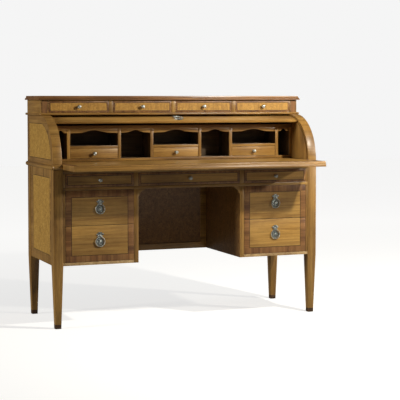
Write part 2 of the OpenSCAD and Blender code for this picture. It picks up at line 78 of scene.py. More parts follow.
# %% [markdown]
# ## Small helpers for shader nodes
# Each finish below is a small network of nodes. These helpers start a material, add a node with
# its settings in one line, and make colour ramps and mixes, so that a network reads from top to
# bottom. Colours are written as a painter reads them on a screen.

# %% Node helpers
def start_material(name):
    """An empty material with a Principled shader, and the pieces needed to grow its network."""
    material = bpy.data.materials.new(name)
    material.use_nodes = True
    tree = material.node_tree
    tree.nodes.clear()
    output = tree.nodes.new("ShaderNodeOutputMaterial")
    shader = tree.nodes.new("ShaderNodeBsdfPrincipled")
    tree.links.new(shader.outputs["BSDF"], output.inputs["Surface"])
    return material, tree, shader


def add(tree, kind, inputs=None, **settings):
    """Adds a node. inputs maps a socket to a value, or to the output that feeds it."""
    node = tree.nodes.new(kind)
    for key, value in settings.items():
        setattr(node, key, value)
    for key, value in (inputs or {}).items():
        if isinstance(value, bpy.types.NodeSocket):
            tree.links.new(value, node.inputs[key])
        else:
            node.inputs[key].default_value = value
    return node


def ramp(tree, factor, stops):
    """A colour ramp through (position, colour) stops."""
    node = tree.nodes.new("ShaderNodeValToRGB")
    tree.links.new(factor, node.inputs["Fac"])
    elements = node.color_ramp.elements
    while len(elements) < len(stops):
        elements.new(0.5)
    for element, (position, colour) in zip(elements, stops):
        element.position = position
        element.color = (*colour, 1.0) if len(colour) == 3 else colour
    return node.outputs["Color"]


def blend_colours(tree, mode, amount, first, second):
    """Mixes two colours. amount, first and second are sockets or values."""
    node = add(tree, "ShaderNodeMix", data_type="RGBA", blend_type=mode)
    for index, value in ((0, amount), (6, first), (7, second)):
        if isinstance(value, bpy.types.NodeSocket):
            tree.links.new(value, node.inputs[index])
        else:
            node.inputs[index].default_value = value if index == 0 else (*value, 1.0)
    return node.outputs[2]


def from_display(red, green, blue):
    """A colour as a painter reads it on a screen, 0 to 255, turned into the shader's values."""
    return tuple(((c / 255 + 0.055) / 1.055) ** 2.4 if c > 10 else c / 3294.6
                 for c in (red, green, blue))


print("mid grey in the shader:", round(from_display(128, 128, 128)[0], 3))

# %% [markdown]
# ## Straight-grained wood
# Wood is a bundle of fibres. Seen from the side they draw long streaks, so the pattern is noise
# that is stretched along the grain. Four layers do the work: wide streaks from the yearly
# growth, fine fibres, short dark pores, and a cloudy patina of old wax and wear. The pores also
# press in a little and break the shine. The grain runs along X, Y or Z, and Object coordinates
# keep it fixed to its board.

# %% Straight-grained wood
GRAIN = {"X": (1.0, 0.0, 0.0), "Y": (0.0, 1.0, 0.0), "Z": (0.0, 0.0, 1.0)}


def stretched(tree, axis, across, along, offset=(0.0, 0.0, 0.0)):
    """Object coordinates, scaled across the grain and along it."""
    coords = add(tree, "ShaderNodeTexCoord")
    scale = tuple(along if on else across for on in GRAIN[axis])
    mapping = add(tree, "ShaderNodeMapping", {"Vector": coords.outputs["Object"], "Scale": scale,
                                              "Location": offset})
    return mapping.outputs["Vector"]


def straight_wood(name, axis, dark, middle, light, gloss=0.34, figure=1.0, offset=0.0):
    """Wood with grain along an axis. gloss is its roughness, figure how wavy its streaks are."""
    material, tree, shader = start_material(name)
    move = (offset, offset * 1.7, offset * 0.6)
    wide = add(tree, "ShaderNodeTexNoise",
               {"Vector": stretched(tree, axis, 34.0, 1.6, move), "Scale": 1.0, "Detail": 5.0,
                "Roughness": 0.55, "Distortion": 0.9 * figure})
    growth = ramp(tree, wide.outputs["Fac"], [(0.30, dark), (0.50, middle), (0.72, light)])
    fine = add(tree, "ShaderNodeTexNoise",
               {"Vector": stretched(tree, axis, 210.0, 6.0, move), "Scale": 1.0, "Detail": 4.0,
                "Roughness": 0.6, "Distortion": 0.2})
    fibres = ramp(tree, fine.outputs["Fac"],
                  [(0.30, (0.72, 0.70, 0.66)), (0.62, (1.08, 1.08, 1.06))])
    pore_noise = add(tree, "ShaderNodeTexNoise",
                     {"Vector": stretched(tree, axis, 900.0, 38.0, move), "Scale": 1.0,
                      "Detail": 2.0, "Roughness": 0.5})
    pores = ramp(tree, pore_noise.outputs["Fac"],
                 [(0.33, (0.55, 0.50, 0.45)), (0.43, (1.0, 1.0, 1.0))])
    patina_noise = add(tree, "ShaderNodeTexNoise",
                       {"Vector": stretched(tree, axis, 6.5, 3.1, move), "Scale": 1.0,
                        "Detail": 4.0, "Roughness": 0.55})
    patina = ramp(tree, patina_noise.outputs["Fac"],
                  [(0.34, (0.62, 0.58, 0.52)), (0.52, (1.0, 1.0, 1.0)), (0.72, (1.16, 1.14, 1.06))])
    colour = blend_colours(tree, "MULTIPLY", 0.85, growth, fibres)
    colour = blend_colours(tree, "MULTIPLY", 0.60, colour, pores)
    colour = blend_colours(tree, "MULTIPLY", 0.90, colour, patina)
    tree.links.new(colour, shader.inputs["Base Color"])
    rough = add(tree, "ShaderNodeMapRange", {"Value": patina_noise.outputs["Fac"],
                                             "From Min": 0.3, "From Max": 0.7,
                                             "To Min": gloss + 0.10, "To Max": gloss - 0.04})
    tree.links.new(rough.outputs["Result"], shader.inputs["Roughness"])
    bump = add(tree, "ShaderNodeBump", {"Height": pore_noise.outputs["Fac"], "Strength": 0.22,
                                        "Distance": 0.0004})
    tree.links.new(bump.outputs["Normal"], shader.inputs["Normal"])
    shader.inputs["Coat Weight"].default_value = 0.10
    shader.inputs["Coat Roughness"].default_value = 0.25
    return material


def grain_set(name, *colours, **settings):
    """The same wood three times, with its grain along X, Y and Z."""
    return [straight_wood(f"{name}, grain along {axis}", axis, *colours, **settings)
            for axis in GRAIN]


walnut = grain_set("honey walnut", from_display(122, 88, 44), from_display(158, 118, 60),
                   from_display(178, 139, 75))
border = grain_set("red-brown cross-banding", from_display(106, 68, 40), from_display(142, 99, 57),
                   from_display(162, 119, 71), offset=3.1)
field = grain_set("golden figured walnut", from_display(150, 109, 55), from_display(176, 134, 69),
                  from_display(193, 152, 84), figure=2.0, offset=5.7)
secondary = grain_set("pale drawer wood", from_display(168, 132, 86), from_display(196, 162, 114),
                      from_display(214, 186, 142), gloss=0.55, offset=1.3)
# A dark wood used only as painted shade: inside the pigeonholes and on the drawers' edges and
# backs.
painted_shade_wood = grain_set("dark wood painted as shade", from_display(70, 56, 39), from_display(92, 74, 52),
                    from_display(112, 92, 66), gloss=0.6, offset=2.9)
ebonised = grain_set("ebonised wood", from_display(54, 38, 26), from_display(76, 54, 36),
                     from_display(98, 71, 47), gloss=0.40)
print("woods:", len(bpy.data.materials))

# %% [markdown]
# ## Burl
# Burl comes from a knobbly growth on the trunk. Its fibres swirl round many small buds, so there
# is no grain direction at all: cloudy gold, crowded with little dark eyes. Warped noise makes
# the clouds, and a Voronoi pattern, warped by the same noise, sets the eyes.

# %% Burl
def burl_wood(name, dark, middle, light, gloss=0.34, eyes=0.7, streaky=0.55, offset=0.0):
    """Burl. eyes is how dark its buds are, streaky how much upright figure shows through."""
    material, tree, shader = start_material(name)
    coords = add(tree, "ShaderNodeTexCoord")
    place = add(tree, "ShaderNodeMapping", {"Vector": coords.outputs["Object"],
                                            "Location": (offset, offset, offset)})
    vector = place.outputs["Vector"]
    warp = add(tree, "ShaderNodeTexNoise", {"Vector": vector, "Scale": 34.0, "Detail": 3.0})
    swirl = add(tree, "ShaderNodeVectorMath",
                {0: warp.outputs["Color"], 1: (0.016, 0.016, 0.016)}, operation="MULTIPLY")
    warped = add(tree, "ShaderNodeVectorMath", {0: vector, 1: swirl.outputs["Vector"]},
                 operation="ADD")
    cloud = add(tree, "ShaderNodeTexNoise", {"Vector": warped.outputs["Vector"], "Scale": 75.0,
                                             "Detail": 7.0, "Roughness": 0.66, "Distortion": 1.2})
    clouds = ramp(tree, cloud.outputs["Fac"], [(0.32, dark), (0.50, middle), (0.66, light)])
    cells = add(tree, "ShaderNodeTexVoronoi", {"Vector": warped.outputs["Vector"], "Scale": 150.0,
                                               "Randomness": 1.0})
    eye = ramp(tree, cells.outputs["Distance"],
               [(0.12, (0.46, 0.38, 0.30)), (0.34, (1.0, 1.0, 1.0))])
    where = add(tree, "ShaderNodeTexNoise", {"Vector": vector, "Scale": 11.0, "Detail": 2.0})
    crowd = add(tree, "ShaderNodeMapRange", {"Value": where.outputs["Fac"], "From Min": 0.38,
                                             "From Max": 0.60, "To Min": 0.2, "To Max": eyes})
    streak = add(tree, "ShaderNodeTexNoise",
                 {"Vector": stretched(tree, "Z", 90.0, 12.0, (offset, 0.0, 0.0)), "Scale": 1.0,
                  "Detail": 4.0, "Distortion": 0.8})
    streaks = ramp(tree, streak.outputs["Fac"],
                   [(0.34, (0.76, 0.72, 0.64)), (0.60, (1.06, 1.06, 1.02))])
    colour = blend_colours(tree, "MULTIPLY", crowd.outputs["Result"], clouds, eye)
    colour = blend_colours(tree, "MULTIPLY", streaky, colour, streaks)
    tree.links.new(colour, shader.inputs["Base Color"])
    rough = add(tree, "ShaderNodeMapRange", {"Value": cloud.outputs["Fac"], "From Min": 0.3,
                                             "From Max": 0.7, "To Min": gloss + 0.09,
                                             "To Max": gloss - 0.04})
    tree.links.new(rough.outputs["Result"], shader.inputs["Roughness"])
    bump = add(tree, "ShaderNodeBump", {"Height": cells.outputs["Distance"], "Strength": 0.08,
                                        "Distance": 0.0003})
    tree.links.new(bump.outputs["Normal"], shader.inputs["Normal"])
    shader.inputs["Coat Weight"].default_value = 0.10
    shader.inputs["Coat Roughness"].default_value = 0.25
    return material


burl = burl_wood("golden burl", from_display(142, 104, 42), from_display(186, 142, 64),
                 from_display(208, 168, 84))
figured = burl_wood("figured gold veneer", from_display(160, 116, 52), from_display(186, 140, 66),
                    from_display(200, 156, 80), eyes=0.35, streaky=0.9, offset=4.4)
dark_burl = burl_wood("brown burl", from_display(100, 68, 38), from_display(132, 95, 54),
                      from_display(156, 117, 70), offset=2.2)
print("burls:", burl.name, figured.name, dark_burl.name)

# %% [markdown]
# ## Stringing
# The thin dark lines are strips of dyed wood, about 2 mm wide, let into the veneer and sanded
# level with it. Nearly black brown, with the same wax over it as the rest.

# %% Stringing
def string_wood(name, dark, light):
    material, tree, shader = start_material(name)
    coords = add(tree, "ShaderNodeTexCoord")
    noise = add(tree, "ShaderNodeTexNoise", {"Vector": coords.outputs["Object"], "Scale": 140.0,
                                             "Detail": 3.0})
    tree.links.new(ramp(tree, noise.outputs["Fac"], [(0.35, dark), (0.70, light)]),
                   shader.inputs["Base Color"])
    rough = add(tree, "ShaderNodeMapRange", {"Value": noise.outputs["Fac"], "To Min": 0.30,
                                             "To Max": 0.48})
    tree.links.new(rough.outputs["Result"], shader.inputs["Roughness"])
    bump = add(tree, "ShaderNodeBump", {"Height": noise.outputs["Fac"], "Strength": 0.15,
                                        "Distance": 0.0002})
    tree.links.new(bump.outputs["Normal"], shader.inputs["Normal"])
    return material


stringing = string_wood("dark stringing", from_display(28, 17, 12), from_display(52, 33, 23))
print("stringing:", stringing.name)

# %% [markdown]
# ## Metals and cloth
# The pulls are cast pewter. Handling keeps the high spots bright, and grime stays in the
# hollows, so cloudy noise moves the metal between a dull dark grey and a polished one. The brass
# screws are plain. The tambour's backing is a coarse cotton canvas: two sets of fine waves at
# right angles make its weave.

# %% Metals and cloth
def aged_metal(name, grime, bright, rough_low, rough_high, scale=260.0):
    material, tree, shader = start_material(name)
    coords = add(tree, "ShaderNodeTexCoord")
    noise = add(tree, "ShaderNodeTexNoise", {"Vector": coords.outputs["Object"], "Scale": scale,
                                             "Detail": 5.0, "Roughness": 0.6})
    tree.links.new(ramp(tree, noise.outputs["Fac"], [(0.36, grime), (0.60, bright)]),
                   shader.inputs["Base Color"])
    rough = add(tree, "ShaderNodeMapRange", {"Value": noise.outputs["Fac"], "From Min": 0.35,
                                             "From Max": 0.65, "To Min": rough_high,
                                             "To Max": rough_low})
    tree.links.new(rough.outputs["Result"], shader.inputs["Roughness"])
    bump = add(tree, "ShaderNodeBump", {"Height": noise.outputs["Fac"], "Strength": 0.20,
                                        "Distance": 0.0004})
    tree.links.new(bump.outputs["Normal"], shader.inputs["Normal"])
    shader.inputs["Metallic"].default_value = 1.0
    return material


def woven_cloth(name, thread, gap):
    material, tree, shader = start_material(name)
    coords = add(tree, "ShaderNodeTexCoord")
    across = add(tree, "ShaderNodeTexWave", {"Vector": coords.outputs["Object"], "Scale": 260.0,
                                             "Distortion": 0.6}, bands_direction="X")
    along = add(tree, "ShaderNodeTexWave", {"Vector": coords.outputs["Object"], "Scale": 260.0,
                                            "Distortion": 0.6}, bands_direction="Z")
    weave = add(tree, "ShaderNodeMath", {0: across.outputs["Fac"], 1: along.outputs["Fac"]},
                operation="MULTIPLY")
    tree.links.new(ramp(tree, weave.outputs["Value"], [(0.05, gap), (0.55, thread)]),
                   shader.inputs["Base Color"])
    rough = add(tree, "ShaderNodeMapRange", {"Value": weave.outputs["Value"], "To Min": 0.95,
                                             "To Max": 0.80})
    tree.links.new(rough.outputs["Result"], shader.inputs["Roughness"])
    bump = add(tree, "ShaderNodeBump", {"Height": weave.outputs["Value"], "Strength": 0.5,
                                        "Distance": 0.0004})
    tree.links.new(bump.outputs["Normal"], shader.inputs["Normal"])
    return material


pewter = aged_metal("aged pewter", from_display(118, 122, 118), from_display(214, 218, 214),
                    0.34, 0.55)
dark_pewter = aged_metal("dark pewter", from_display(52, 58, 56), from_display(136, 144, 140),
                     0.45, 0.66)
brass = aged_metal("plain brass", from_display(150, 116, 58), from_display(206, 170, 96),
                   0.28, 0.42)
canvas = woven_cloth("cotton canvas", from_display(176, 164, 134), from_display(96, 86, 66))
print("metals and cloth ready")

# %% [markdown]
# ## Easing the edges of boards
# No real board ends in a perfectly sharp corner. The sanding block takes off about half a
# millimetre, and those small rounds catch the light. We copy a CAD mesh, join its loose
# triangles into whole faces again, then bevel every sharp edge. Each board of the copy also gets
# wood whose grain runs along its longest side, which is how a cabinet maker cuts it.

# %% Helpers for boards
def open_copy(node):
    """A copy of a CAD node's mesh with its triangles joined into flat faces."""
    bm = bmesh.new()
    bm.from_mesh(nodes[node].data)
    bmesh.ops.remove_doubles(bm, verts=bm.verts, dist=0.00001)
    bmesh.ops.dissolve_limit(bm, angle_limit=math.radians(0.6), verts=bm.verts, edges=bm.edges,
                             use_dissolve_boundaries=False)
    for face in bm.faces:
        face.material_index = 0
    return bm


def boards_of(bm):
    """Lists of the faces that hang together, one list for each board."""
    left = dict.fromkeys(bm.faces)
    boards = []
    while left:
        first = next(iter(left))
        del left[first]
        board, queue = [first], [first]
        while queue:
            for edge in queue.pop().edges:
                for other in edge.link_faces:
                    if other in left:
                        del left[other]
                        board.append(other)
                        queue.append(other)
        boards.append(board)
    return boards


def span(faces):
    """Lowest and highest corner of some faces."""
    points = [v.co for f in faces for v in f.verts]
    return (Vector([min(p[i] for p in points) for i in range(3)]),
            Vector([max(p[i] for p in points) for i in range(3)]))


def longest(faces):
    """0, 1 or 2 for the axis along which some faces reach furthest."""
    low, high = span(faces)
    size = high - low
    return max(range(3), key=lambda i: size[i])


def grain_along_boards(bm):
    """Gives each board the wood whose grain runs along it: places 0, 1 and 2 of the list."""
    for board in boards_of(bm):
        for face in board:
            face.material_index = longest(board)


def ease_edges(bm, width=0.0006, segments=2, sharp=28.0):
    """Bevels every edge that turns by more than sharp degrees."""
    edges = [e for e in bm.edges if len(e.link_faces) == 2
             and e.calc_face_angle(0.0) > math.radians(sharp)]
    bmesh.ops.bevel(bm, geom=edges, offset=width, offset_type="OFFSET", affect="EDGES",
                    segments=segments, profile=0.5, material=-1, clamp_overlap=True)


def finish_piece(name, bm, materials, body, stands_for=(), smooth=40.0):
    """Turns a bmesh into a piece, smooth across shallow angles, that rides on a body."""
    bmesh.ops.dissolve_degenerate(bm, dist=0.000001, edges=bm.edges)
    for face in bm.faces:
        face.smooth = True
    for edge in bm.edges:
        edge.smooth = len(edge.link_faces) == 2 and edge.calc_face_angle(3.2) < math.radians(smooth)
    mesh = bpy.data.meshes.new(name)
    bm.to_mesh(mesh)
    bm.free()
    for material in materials:
        mesh.materials.append(material)
    piece = bpy.data.objects.new(name, mesh)
    bpy.context.scene.collection.objects.link(piece)
    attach(piece, body)
    if stands_for:
        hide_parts(*stands_for)
    print(f"{name}: {len(mesh.polygons)} faces")
    return piece


# %% [markdown]
# ## Inlay by insetting faces
# A veneered panel is a flat face cut into zones. Bmesh's inset does exactly that: it draws a
# frame of even width inside a face. One inset gives the cross-banded border, the next one the
# stringing, and what stays in the middle is the field. The border's own grain runs across it, so
# a face that is long in one direction gets wood whose grain runs in another.

# %% Helpers for inlay
def across_grain(face, axes):
    """The axis, of the two that lie in the face, which crosses the face's outer edge."""
    outer = max(face.edges, key=lambda e: e.calc_length())
    way = outer.verts[0].co - outer.verts[1].co
    return min(axes, key=lambda i: abs(way[i]))


def inlay(bm, face, axes, border_width, line_width, border_at, line_at, field_at):
    """Cuts a face into border, line and field. *_at are places in the piece's material list."""
    rings = bmesh.ops.inset_region(bm, faces=[face], thickness=border_width, depth=0.0,
                                   use_even_offset=True, use_boundary=True)["faces"]
    for ring in rings:
        ring.material_index = border_at + across_grain(ring, axes)
    rings = bmesh.ops.inset_region(bm, faces=[face], thickness=line_width, depth=0.0,
                                   use_even_offset=True, use_boundary=True)["faces"]
    for ring in rings:
        ring.material_index = line_at
    face.material_index = field_at


def flat_faces(bm, normal, where):
    """Faces that look along a direction and whose middle passes a test."""
    normal = Vector(normal)
    return [f for f in bm.faces if f.normal.dot(normal) > 0.999 and where(f.calc_center_median())]


front_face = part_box("legs")[0].y
print("front face of the legs at y =", round(front_face, 4))

# %% [markdown]
# ## Plain boards of the case
# The pieces below need nothing but grain and eased edges: the rails between the drawers, the
# inner boards, the deck, the back. One loop treats them all.

# %% Plain boards
PLAIN = [
    # node, woods, slot, edge width
    ("front_rails", walnut, "walnut", 0.0006),
    ("lower_back", walnut, "walnut", 0.0006),
    ("upper_back", walnut, "walnut", 0.0006),
    ("pedestal_boards", secondary, "pale_wood", 0.0005),
    ("drawer_runners", secondary, "pale_wood", 0.0004),
    ("deck_board", secondary, "pale_wood", 0.0005),
    ("pigeonhole_valances", walnut, "walnut", 0.0004),
    ("kneehole_brackets", walnut, "walnut", 0.0005),
    ("cornice_top", border, "walnut", 0.0006),
    ("leg_toes", ebonised, "ebonised", 0.0006),
]
for node, woods, slot, width in PLAIN:
    bm = open_copy(node)
    grain_along_boards(bm)
    ease_edges(bm, width)
    finish_piece("eased_" + node, bm, woods, "case", [node])

# %% [markdown]
# ## Pigeonhole unit
# Only the front edges of the unit are polished. Its inside takes a dark wood as painted shade, so
# that the compartments look deep and the scalloped valances stand out against them.

# %% Pigeonhole unit
PAINTED_SHADE_FROM = 3  # place of the first wood painted as shade in the list
unit_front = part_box("pigeonhole_case")[0].y
for node in ("pigeonhole_case", "pigeonhole_partitions"):
    bm = open_copy(node)
    grain_along_boards(bm)
    for face in bm.faces:
        depth = face.calc_center_median().y - unit_front
        # Faces set back from the front take painted shade: the dark wood stands in for the shade
        # inside the compartments.
        if depth > 0.004 and face.normal.y > -0.5 or depth > 0.03:
            face.material_index += PAINTED_SHADE_FROM
    ease_edges(bm, 0.0005)
    finish_piece("polished_" + node, bm, [*walnut, *painted_shade_wood], "case", [node])

# %% [markdown]
# ## Legs
# Each leg is one square post that tapers on all four sides below the case. It is cut from
# straight timber, so its grain runs upright.

# %% Legs
UPRIGHT = 2  # place of the wood with its grain along Z
bm = open_copy("legs")
for face in bm.faces:
    face.material_index = UPRIGHT
ease_edges(bm, 0.0010)
finish_piece("eased_legs", bm, walnut, "case", ["legs"])

# %% [markdown]
# ## Lower sides
# Between the legs sits a panel of speckled burl inside a dark string line, with walnut round it.
# The board's outer face is cut by planes along the line's two edges, and each part gets its own
# veneer by where it lies.

# %% Lower sides
def cut_lines(bm, faces, axis, places):
    """Cuts faces along planes that cross an axis."""
    normal = Vector((0.0, 0.0, 0.0))
    normal[axis] = 1.0
    for place in places:
        faces = [f for f in faces if f.is_valid]
        geom = (faces + list(dict.fromkeys(e for f in faces for e in f.edges))
                + list(dict.fromkeys(v for f in faces for v in f.verts)))
        point = normal * place
        result = bmesh.ops.bisect_plane(bm, geom=geom, plane_co=point, plane_no=normal,
                                        dist=0.000001)
        faces = [g for g in result["geom"] if isinstance(g, bmesh.types.BMFace)]
    return [f for f in faces if f.is_valid]


def string_frame(bm, faces, axes, low, high, line_at, field_at, border_at, line=0.0026):
    """A rectangle of string line on flat faces: low and high are its outer edges on two axes."""
    a, b = axes
    faces = cut_lines(bm, faces, a, [low[0], low[0] + line, high[0] - line, high[0]])
    faces = cut_lines(bm, faces, b, [low[1], low[1] + line, high[1] - line, high[1]])
    for face in faces:
        middle = face.calc_center_median()
        u, v = middle[a], middle[b]
        if u < low[0] or u > high[0] or v < low[1] or v > high[1]:
            sideways = low[1] < v < high[1]
            face.material_index = border_at + (a if sideways else b)
        elif low[0] + line < u < high[0] - line and low[1] + line < v < high[1] - line:
            face.material_index = field_at
        else:
            face.material_index = line_at


line_low = (front_face + 0.076, 0.342)
line_high = (front_face + 0.399, 0.713)
bm = open_copy("lower_sides")
for face in bm.faces:
    face.material_index = UPRIGHT
outer_x = max(v.co.x for v in bm.verts)
outer = [f for f in bm.faces if abs(f.normal.x) > 0.999
         and abs(f.calc_center_median().x) > outer_x - 0.0001]
string_frame(bm, outer, (1, 2), line_low, line_high, line_at=3, field_at=4, border_at=0)
ease_edges(bm, 0.0005)
finish_piece("veneered_lower_sides", bm, [*walnut, stringing, burl], "case",
             ["lower_sides"])

# %% [markdown]
# ## Upper sides
# The upper side is a quarter round in front. Its string line follows the same outline 38 mm
# inside the edge. An inset would fold over itself where the round meets the short straight part
# below it. So the outline is cut with planes instead: three for the straight edges, and a fan of
# tangents for the round. What falls outside is border, and a second round of cuts makes the line.

# %% Upper sides
BORDER_WIDTH = 0.038
LINE_WIDTH = 0.0024
COVERED_Z = 0.759  # the waist moulding hides what lies below
TANGENTS = 24


def trim(bm, face, planes, place):
    """Cuts a face along planes. What falls outside takes place(middle); returns what is left."""
    for point, outward in planes:
        near = [face] + list(face.edges) + list(face.verts)
        cut = bmesh.ops.bisect_plane(bm, geom=near, plane_co=point, plane_no=outward)["geom"]
        for piece in [g for g in cut if isinstance(g, bmesh.types.BMFace)]:
            middle = piece.calc_center_median()
            if (middle - Vector(point)).dot(Vector(outward)) > 0:
                piece.material_index = place(middle)
            else:
                face = piece
    return face


def side_planes(low, high, inset):
    """The outline of an upper side, moved in: bottom, back, top, tangents to its round front."""
    planes = [((0, 0, COVERED_Z + inset), (0, 0, -1)), ((0, high.y - inset, 0), (0, 1, 0)),
              ((0, 0, high.z - inset), (0, 0, 1))]
    radius = axle.y - low.y - inset
    for k in range(TANGENTS + 1):
        a = math.radians(90) * k / TANGENTS
        outward = (0, -math.cos(a), math.sin(a))
        planes.append((axle + radius * Vector(outward), outward))
    return planes


axle = Vector(next(j for j in frame["joints"] if j["name"] == "roll_turn")["pos_m"])
low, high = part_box("upper_sides")
upright_front = axle.y - 0.14
upright_back = high.y - BORDER_WIDTH
bm = open_copy("upper_sides")
for face in bm.faces:
    face.material_index = UPRIGHT if abs(face.normal.x) > 0.5 else 5
for side in (-1, 1):
    face = max((f for f in bm.faces if f.normal.x * side > 0.999),
               key=lambda f: f.calc_center_median().x * side)
    face = trim(bm, face, side_planes(low, high, BORDER_WIDTH),
                lambda c: UPRIGHT if c.y > upright_back or c.y < upright_front else 1)
    face = trim(bm, face, side_planes(low, high, BORDER_WIDTH + LINE_WIDTH), lambda c: 3)
    face.material_index = 4
print("upper sides cut into", len(bm.faces), "faces")
ease_edges(bm, 0.0008)
finish_piece("veneered_upper_sides", bm, [*walnut, stringing, burl, walnut[0]], "case",
             ["upper_sides"])

# %% [markdown]
# ## Kneehole
# The boards beside the sitter's knees are veneered in a browner burl. The back of the kneehole is
# a burl panel sunk in a plain frame, so only the sunk face gets the burl.

# %% Kneehole
bm = open_copy("kneehole_sides")
for face in bm.faces:
    face.material_index = UPRIGHT if abs(face.normal.x) < 0.5 else 3
ease_edges(bm)
finish_piece("veneered_kneehole_sides", bm, [*walnut, dark_burl], "case",
             ["kneehole_sides"])

bm = open_copy("kneehole_panel")
frame_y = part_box("kneehole_panel")[0].y
for face in bm.faces:
    sunk = face.normal.y < -0.9 and face.calc_center_median().y > frame_y + 0.003
    face.material_index = 3 if sunk else 0
ease_edges(bm)
finish_piece("veneered_kneehole_panel", bm, [*walnut, dark_burl], "case",
             ["kneehole_panel"])

# %% [markdown]
# ## Gallery case
# The rails and uprights of the gallery are plain. The square blocks at both ends carry a small
# framed panel of red-brown veneer.

# %% Gallery case
bm = open_copy("gallery_case")
grain_along_boards(bm)
low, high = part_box("gallery_case")
BLOCK_WIDTH = 0.039
blocks = flat_faces(bm, (0, -1, 0),
                    lambda c: abs(c.x) > high.x - BLOCK_WIDTH and c.y < low.y + 0.0005)
for face in blocks:
    inlay(bm, face, (0, 2), border_width=0.0045, line_width=0.0018, border_at=0, line_at=3,
          field_at=6)
ease_edges(bm, 0.0005)
finish_piece("veneered_gallery_case", bm, [*walnut, stringing, *border], "case",
             ["gallery_case"])

# %% [markdown]
# ## Mouldings
# The waist moulding and the bead under the gallery are long half-rounds. Their grain runs along
# them, so the side runs and the front runs take different woods.

# %% Mouldings
for node in ("waist_moulding", "gallery_bead"):
    bm = open_copy(node)
    grain_along_boards(bm)
    ease_edges(bm, 0.0003, segments=1, sharp=60.0)
    finish_piece("polished_" + node, bm, walnut, "case", [node], smooth=50.0)

# %% [markdown]
# ## Drawers
# Every drawer is a veneered front on a box of pale wood. The front is found as the board that
# lies furthest forward. Its face is dressed by a function that differs from row to row. Its
# edges and back take the dark wood as painted shade, so that the gaps round it read as thin
# shadows.

# %% Drawer helper
DRAWER_WOODS = [*field, *secondary, stringing, *border, figured, *painted_shade_wood]
FIELD_AT, BOX_AT, LINE_AT, BORDER_AT, FIGURED_AT, GAP_SHADE_AT = 0, 3, 6, 7, 10, 11


def drawer_piece(node, dress):
    """One drawer. dress(bm, low, high) cuts the inlay into its front."""
    bm = open_copy(node)
    low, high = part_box(node)
    for board in boards_of(bm):
        is_front = span(board)[0].y < low.y + 0.001
        for face in board:
            if not is_front:
                face.material_index = BOX_AT + longest(board)
            elif face.normal.y > -0.5:
                # The front's edges and back take painted shade for the gaps round the drawer.
                face.material_index = GAP_SHADE_AT
    dress(bm, low, high)
    ease_edges(bm)
    finish_piece("veneered_" + node, bm, DRAWER_WOODS, node, [node])


def bordered(width, line, field_at):
    """A way to dress a front: a border, a string line and a field."""
    def dress(bm, low, high):
        for face in flat_faces(bm, (0, -1, 0), lambda c: c.y < low.y + 0.0005):
            inlay(bm, face, (0, 2), width, line, BORDER_AT, LINE_AT, field_at)
    return dress


def plain(bm, low, high):
    """A way to dress a front: nothing at all."""


print("a drawer takes", len(DRAWER_WOODS), "materials")

# %% [markdown]
# ## Small drawers
# Gallery and frieze drawers have a narrow border inside a string line; the gallery's fields are
# figured gold veneer. The drawers of the pigeonhole unit are plain.

# %% Gallery, frieze and inner drawers
for i in range(1, 5):
    drawer_piece(f"gallery_drawer_{i}", bordered(0.0075, 0.0020, FIGURED_AT))
for i in range(1, 4):
    drawer_piece(f"frieze_drawer_{i}", bordered(0.0100, 0.0022, FIELD_AT))
    drawer_piece(f"inner_drawer_{i}", plain)

# %% [markdown]
# ## Pedestal drawers
# The pedestal drawers share one string line: it runs round both stacked fronts as if they were a
# single panel, and stops at the gap between them. So each front takes only its own share of one
# common rectangle.

# %% Pedestal drawers
panel_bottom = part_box("pedestal_drawer_2")[0].z + 0.030
panel_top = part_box("pedestal_drawer_1")[1].z - 0.030


def shared_panel(bm, low, high):
    """Dresses a front with its share of the rectangle that spans both drawers."""
    faces = flat_faces(bm, (0, -1, 0), lambda c: c.y < low.y + 0.0005)
    string_frame(bm, faces, (0, 2), (low.x + 0.028, panel_bottom), (high.x - 0.028, panel_top),
                 LINE_AT, FIELD_AT, BORDER_AT)


for i in range(1, 5):
    drawer_piece(f"pedestal_drawer_{i}", shared_panel)

# %% [markdown]
# ## Writing slide
# The slide's top is a broad veneered board, and its front a separate moulded edge. The board gets
# a string line near its border.

# %% Writing slide
bm = open_copy("slide_board")
top_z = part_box("slide_board")[1].z
for face in flat_faces(bm, (0, 0, 1), lambda c: c.z > top_z - 0.0005):
    inlay(bm, face, (0, 1), border_width=0.030, line_width=0.0024, border_at=4, line_at=3,
          field_at=7)
ease_edges(bm)
finish_piece("veneered_slide_board", bm, [*walnut, stringing, *border, field[0]], "writing_slide",
             ["slide_board"])
bm = open_copy("slide_edge")
grain_along_boards(bm)
ease_edges(bm)
finish_piece("moulded_slide_edge", bm, walnut, "writing_slide", ["slide_edge"])

# %% [markdown]
# ## Roll
# The tambour is a row of narrow slats glued on canvas, with a wide rail at its front edge. The
# slats' grain runs along them. The canvas and the gallery's screws keep their CAD shape and only
# get a finish.

# %% Roll
# The lead rail takes the lighter golden wood as painted light: it stands in for the light from
# above on its upturned face.
for node, woods, slot in (("tambour_slats", walnut, "walnut"), ("lead_rail", field, "walnut")):
    bm = open_copy(node)
    grain_along_boards(bm)
    ease_edges(bm, 0.0004)
    finish_piece("eased_" + node, bm, woods, "roll", [node])
for node, material in (("tambour_canvas", canvas), ("gallery_screws", brass)):
    nodes[node].data.materials.clear()
    nodes[node].data.materials.append(material)

# %% [markdown]
# ## Knobs
# A turned knob is a lathe shape: half its outline spun once round its axis. The outline has a
# foot, a thin neck and a flattened head with a small step on its face.

